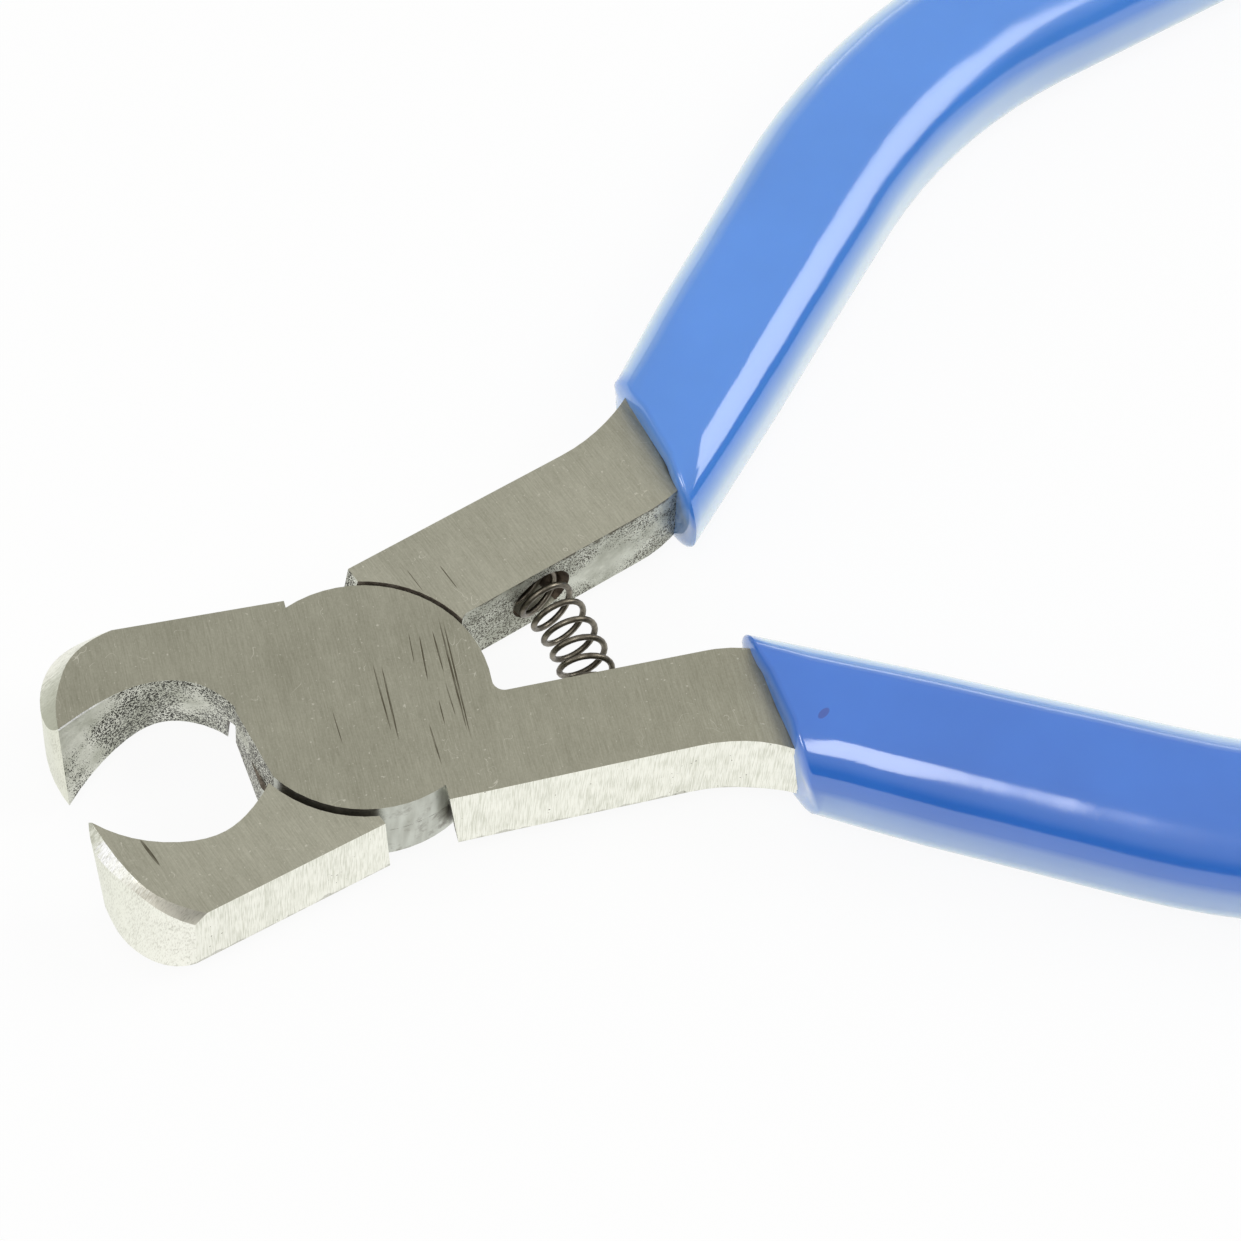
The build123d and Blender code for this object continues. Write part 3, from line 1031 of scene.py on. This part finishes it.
    def round_lip(self, piece: Object) -> None:
        """Round the mouth into a bead that thins out onto the steel.

        Args:
            piece: The straight grip, open in edit mode.
        """
        bpy.ops.mesh.select_all(action="DESELECT")
        bpy.ops.mesh.select_mode(type="FACE")
        shape = bmesh.from_edit_mesh(piece.data)
        for face in shape.faces:
            face.select = len(face.verts) > 8 and face.calc_center_median().x < self.lead + self.mouth_zone
        bmesh.update_edit_mesh(piece.data)
        for number in range(self.lip_steps):
            before = pi / 2 * number / self.lip_steps
            after = pi / 2 * (number + 1) / self.lip_steps
            bpy.ops.mesh.inset(
                thickness=self.lip_width * (cos(before) - cos(after)),
                depth=self.lip_depth * (sin(after) - sin(before)),
            )
        bpy.ops.mesh.select_all(action="DESELECT")
        bpy.ops.mesh.select_mode(type="VERT")
        self.pull_mouth(
            piece,
            lambda place: abs(place.y) > self.corner_y and place.z > self.corner_z,
            -self.corner_pull,
            self.corner_reach,
        )
        self.pull_mouth(
            piece, lambda place: place.y < self.side_y and place.z < 0, self.side_recess, self.side_reach
        )

    def pull_mouth(
        self, piece: Object, chosen: Callable[[Vector], bool], distance: float, reach: float
    ) -> None:
        """Move part of the mouth along the grip, easing out around it.

        Args:
            piece: The straight grip, open in edit mode.
            chosen: Tells from the place of a vertex whether it belongs to that part.
            distance: How far to move it, positive away from the joint.
            reach: How far around that part the mesh follows.
        """
        shape = bmesh.from_edit_mesh(piece.data)
        for vertex in shape.verts:
            behind = vertex.co.x + vertex.co.y * tan(self.slant) - self.lead
            vertex.select = behind < self.lip_zone and chosen(vertex.co)
        bmesh.update_edit_mesh(piece.data)
        bpy.ops.transform.translate(
            value=(distance, 0, 0),
            use_proportional_edit=True,
            proportional_edit_falloff="SMOOTH",
            proportional_size=reach,
        )

    def add_centre_line(self) -> Object:
        """Draw the centre line of the grip: two straights joined by an arc.

        Returns:
            The curve object.
        """
        along = Vector((cos(self.handle_angle), -sin(self.handle_angle), 0))
        inwards = Vector((sin(self.handle_angle), cos(self.handle_angle), 0))
        start = self.mouth - along * self.lead + Vector((0, -self.shift, 0))
        bend_start = start + along * (self.lead + self.straight)
        turned = Matrix.Rotation(self.bend_angle, 3, "Z")
        centre = bend_start + inwards * self.bend_radius
        bend_end = centre - (turned @ inwards) * self.bend_radius
        tail_way = turned @ along
        tail_end = bend_end + tail_way * (self.tail + self.overhang)
        handle = 4 / 3 * tan(self.bend_angle / 4) * self.bend_radius
        corners = (
            (start, along, self.overhang, self.overhang),
            (bend_start, along, self.overhang, handle),
            (bend_end, tail_way, handle, self.overhang),
            (tail_end, tail_way, self.overhang, self.overhang),
        )
        data = bpy.data.curves.new("grip_line", "CURVE")
        data.dimensions = "3D"
        data.twist_mode = "Z_UP"
        data.resolution_u = 64
        line = data.splines.new("BEZIER")
        line.bezier_points.add(len(corners) - 1)
        for point, (place, way, before, after) in zip(line.bezier_points, corners):
            point.co = place
            point.handle_left = place - way * before
            point.handle_right = place + way * after
        return add_object("grip_line", data)

    def build(self, finish: Material) -> Object:
        """Shape the grip, bend it along its centre line and turn it open.

        Args:
            finish: Material of the vinyl.

        Returns:
            The finished piece.
        """
        piece = self.extrude_straight()
        line = self.add_centre_line()
        bend = piece.modifiers.new("bend", "CURVE")
        bend.object = line
        bend.deform_axis = "POS_X"
        bpy.ops.object.modifier_apply(modifier=bend.name)
        bpy.data.objects.remove(line)
        opened = Matrix.Rotation(self.turn, 4, "Z")
        piece.data.transform(opened @ Matrix.Diagonal((1, self.jaw_side, 1, 1)))
        if self.jaw_side < 0:
            piece.data.flip_normals()
        piece.data.materials.append(finish)
        start_editing(piece)
        finish_piece(piece, radians(40))
        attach(piece, self.body)
        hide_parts(self.node)
        return piece


class Outline(Enum):
    """Outlines of a softbox."""

    RECTANGLE = "RECTANGLE"
    ELLIPSE = "ELLIPSE"


class Studio:
    """Floor, soft lights and the camera."""

    camera_place = Vector((-47.64, -103.80, 204.54)) * MM
    camera_right = Vector((0.9037, -0.4226, 0.0692))
    camera_up = Vector((0.3309, 0.7917, 0.5135))
    camera_back = Vector((-0.2718, -0.4412, 0.8553))
    lens = 116.6
    floor_glow = 0.92
    aim = Vector((0.03, 0, 0))

    # Tones of the room from the horizon straight up, and the way to its darker front
    horizon = ((0.0, "#ffffff"), (0.02, "#ffffff"))
    front_tones = (*horizon, (0.04, "#424242"), (0.3, "#525252"), (0.6, "#c3c3c3"), (1.0, "#d4d4d4"))
    back_tones = (*horizon, (0.035, "#4a4a4a"), (0.06, "#5a5a5a"), (0.09, "#c8c8c8"), (1.0, "#d4d4d4"))
    front_way = (0.45, -0.89, 0)

    def add_camera(self) -> None:
        """Place the camera at the photograph's angle."""
        data = bpy.data.cameras.new("camera")
        data.lens = self.lens
        data.sensor_width = 36.0
        data.sensor_fit = "HORIZONTAL"
        data.clip_start = 0.01
        camera = add_object("camera", data)
        turned = Matrix((self.camera_right, self.camera_up, self.camera_back)).transposed()
        camera.matrix_world = Matrix.Translation(self.camera_place) @ turned.to_4x4()
        bpy.context.scene.camera = camera

    def add_floor(self) -> None:
        """Lay a pale floor under the object."""
        low, _ = CAD_BOX
        bpy.ops.mesh.primitive_plane_add(size=6.0, location=(0, 0, low.z))
        floor = bpy.context.object
        floor.name = "floor"
        material, add = new_material("white_table")
        path = add("LightPath")
        diffuse = add("BsdfDiffuse", {"Color": "#f6f6f4"})
        glow = add("Emission", {"Color": "#ffffff", "Strength": 1.0})
        seen = add(
            "Math",
            (path.outputs["Is Camera Ray"], path.outputs["Is Glossy Ray"]),
            operation="MAXIMUM",
        )
        share = add("Math", (seen, self.floor_glow), operation="MULTIPLY")
        mixed = add("MixShader", (share, diffuse, glow))
        add("OutputMaterial", {0: mixed})
        floor.data.materials.append(material)

    def add_softbox(
        self,
        name: str,
        direction: tuple[float, float, float],
        distance: float,
        size: tuple[float, float],
        power: float,
        outline: Outline = Outline.RECTANGLE,
    ) -> None:
        """Hang a softbox that points at the object.

        Args:
            name: Name of the light.
            direction: Way from the object to the softbox.
            distance: Distance in metres.
            size: Width and height in metres.
            power: Power in watts.
            outline: Outline of the softbox.
        """
        data = bpy.data.lights.new(name, "AREA")
        data.shape = outline.value
        data.size, data.size_y = size
        data.energy = power
        light = add_object(name, data)
        way = Vector(direction).normalized()
        light.location = self.aim + way * distance
        light.rotation_mode = "QUATERNION"
        light.rotation_quaternion = way.to_track_quat("Z", "Y")

    def add_world(self) -> None:
        """Light the room: white at the horizon, darker low in front, and white behind the object."""
        world = bpy.data.worlds.new("pale_room")
        bpy.context.scene.world = world
        world.use_nodes = True
        world.node_tree.nodes.clear()
        add = partial(add_node, world.node_tree)
        path = add("LightPath")
        way = add("TexCoord").outputs["Generated"]
        split = add("SeparateXYZ", {0: way})
        back, front = (
            add("ValToRGB", {0: split.outputs["Z"]}, stops=tones)
            for tones in (self.back_tones, self.front_tones)
        )
        towards = add("VectorMath", (way, self.front_way), operation="DOT_PRODUCT")
        share = add("MapRange", (towards.outputs["Value"], -0.1, 0.3))
        walls = add("MixRGB", (share, back, front))
        room = add("Background", {"Color": walls, "Strength": 1.0})
        white = add("Background", {"Color": "#ffffff", "Strength": 1.0})
        mixed = add("MixShader", (path.outputs["Is Camera Ray"], room, white))
        add("OutputWorld", {0: mixed})

    def build(self) -> None:
        """Set up everything around the object."""
        bpy.context.scene.view_settings.view_transform = "Standard"
        self.add_camera()
        self.add_floor()
        self.add_world()
        self.add_softbox("softbox_right", (0.785, -0.117, 0.609), 0.7, (0.41, 0.46), 1.7)
        self.add_softbox("softbox_above", (-0.31, -0.27, 0.911), 0.8, (0.2, 0.58), 1.1, Outline.ELLIPSE)
        self.add_softbox("softbox_left", (-0.93, 0.05, 0.33), 0.8, (0.25, 0.2), 0.8)
        self.add_softbox("strip_behind", (0.55, 0.83, 0.17), 1.5, (1.6, 0.12), 1.0)


UPPER_MARKS = (
    Mark((6.00, 3.33), (4.41, -4.58), 0.14),
    Mark((6.18, 3.10), (4.43, -5.05), 0.12),
    Mark((1.27, 1.85), (0.44, -2.91)),
    Mark((1.68, 1.52), (0.61, -3.59), 0.13),
    Mark((4.49, 2.54), (3.70, -0.58)),
    Mark((5.30, 2.52), (4.77, -0.40)),
    Mark((2.65, -3.07), (2.23, -5.88)),
    Mark((-2.07, -0.16), (-2.39, -2.48), 0.07),
    Mark((3.98, 2.91), (3.45, 0.78), 0.07),
    Mark((3.79, -1.85), (3.45, -3.56), 0.08),
    Mark((4.60, -0.95), (4.24, -3.28), 0.08),
)

LOWER_MARKS = (
    Mark((5.56, 6.87), (5.87, 5.06), 0.06),
    Mark((7.44, 6.38), (7.79, 4.42), 0.08),
    Mark((-15.13, -3.55), (-14.68, -5.70), 0.2),
)

GRIP_BLOTS = (Mark((22.95, -11.94), (23.85, -11.54), 0.5, 6.45),)

# Painted highlight and shade: tones from tip to corner that stand for the light on each curved bevel and
# jaw end
UPPER_BEVEL_PAINTED_LIGHT = ((0.5, "#b6b8a6"), (0.7, "#bcbeac"), (0.86, "#d4d6c6"), (0.98, "#f6f6ea"))
UPPER_END_PAINTED_LIGHT = ((0.0, "#eeefe0"), (0.52, "#e9eadb"), (0.6, "#e8eada"), (0.8, "#eeefe0"), (1.0, "#f4f5e8"))
LOWER_BEVEL_PAINTED_LIGHT = (
    (0.22, "#c2c3b4"),
    (0.34, "#e6e7da"),
    (0.42, "#ffffff"),
    (0.62, "#f8f8ee"),
    (0.76, "#dcd8ca"),
    (0.98, "#dcd9ca"),
)
LOWER_END_PAINTED_LIGHT = ((0.1, "#e6e8d9"), (0.6, "#f4f5e8"), (1.0, "#fdfdf2"))


def steel_finishes(
    turn: float, jaw_side: float, face: GroundFace, bevel: Tones, end: Tones
) -> dict[Surface, Material]:
    """Make the materials of one steel half.

    Args:
        turn: Angle that the half is opened by.
        jaw_side: 1 with the jaw on the +Y side, -1 on the other.
        face: Finish of its ground faces.
        bevel: Painted highlight and shade tones of its bevel from tip to corner.
        end: Painted highlight and shade tones of its jaw end, likewise.

    Returns:
        Material of each surface.
    """
    half = "upper" if jaw_side > 0 else "lower"
    finishes = {
        Surface.GROUND_FACE: face,
        Surface.OUTER_WALL: GroundWall(f"belt_ground_wall_{half}", turn),
        Surface.JAW_END: GroundBevel(f"belt_ground_end_painted_light_{half}", turn, jaw_side, end),
        Surface.BEVEL: GroundBevel(f"hand_ground_bevel_painted_light_{half}", turn, jaw_side, bevel),
        Surface.FORGED_WALL: ForgedWall(f"forged_wall_{half}"),
        Surface.ARM_WALL: ForgedWall(
            f"forged_arm_wall_{half}", "#d6d8cc", "#b0b2a4", "#4c483b", grains=0.9, burr_shadow=0.85
        ),
        Surface.DISC_WALL: MilledWall(f"turned_disc_wall_{half}"),
        Surface.THROAT: ForgedWall(f"milled_throat_{half}", "#e4e5da", "#bdbeb0", "#3b362d", grains=1.1),
        Surface.RECESS: OilyRecess(f"oily_recess_{half}", "#6f655a", "#a89d90"),
        Surface.SOCKET: OilyRecess(f"oily_socket_{half}"),
    }
    return {surface: finish.material() for surface, finish in finishes.items()}


def main() -> None:
    """Build the whole scene in order."""
    logging.basicConfig(level=logging.INFO, format="%(message)s")
    bpy.ops.object.select_all(action="DESELECT")
    upper_grip = DippedGrip(
        "grip_upper_half", "upper_half", "grip_upper", -OPEN_ANGLE / 2, 1, 17.8 * MM, 0.2 * MM, radians(6.5)
    )
    lower_grip = DippedGrip(
        "grip_lower_half", "lower_half", "grip_lower", OPEN_ANGLE / 2, -1, 18.8 * MM, -0.1 * MM, radians(10)
    )
    upper_face = GroundFace("surface_ground_steel_upper", marks=UPPER_MARKS)
    # The lower half's faces are given lighter tones as painted light, for the brighter reflection they
    # catch
    lighter_lit_lower_face = GroundFace(
        "surface_ground_steel_lower_lit_lighter", marks=LOWER_MARKS, dark="#a7a593", light="#c1bfad"
    )
    upper_vinyl = DippedVinyl("dipped_vinyl_upper", blots=GRIP_BLOTS)
    # The lower grip is given a lighter blue as painted light, for the extra light on it
    lighter_lit_lower_vinyl = DippedVinyl("dipped_vinyl_lower_lit_lighter", colour="#4a90ec", deep="#468be5")
    halves = (
        (upper_grip, upper_face, upper_vinyl, UPPER_BEVEL_PAINTED_LIGHT, UPPER_END_PAINTED_LIGHT, "jaw_half_upper", "upper_half_steel"),
        (lower_grip, lighter_lit_lower_face, lighter_lit_lower_vinyl, LOWER_BEVEL_PAINTED_LIGHT, LOWER_END_PAINTED_LIGHT, "jaw_half_lower", "lower_half_steel"),
    )
    for grip, face, vinyl, bevel, end, node, piece_name in halves:
        opened = Matrix.Rotation(grip.turn, 3, "Z") @ Matrix.Diagonal((1, grip.jaw_side, 1))
        mouth = tuple(opened @ grip.mouth)[:2]
        mouth_angle = grip.turn + grip.mouth_angle * grip.jaw_side
        face = replace(face, turn=grip.turn, mouth=mouth, mouth_angle=mouth_angle)
        finishes = steel_finishes(grip.turn, grip.jaw_side, face, bevel, end)
        SteelHalf(node, grip.body, piece_name, grip.turn, grip.jaw_side).build(finishes)
        grip.build(replace(vinyl, mouth=mouth, mouth_angle=mouth_angle).material())
        if node == "jaw_half_upper":
            # The rivet's heads are ground flush together with this half
            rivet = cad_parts["pivot_rivet"].data
            rivet.materials.clear()
            rivet.materials.append(finishes[Surface.GROUND_FACE])
    ReturnSpring().build(DrawnWire("drawn_spring_wire").material())
    Studio().build()


if __name__ == "__main__":
    main()
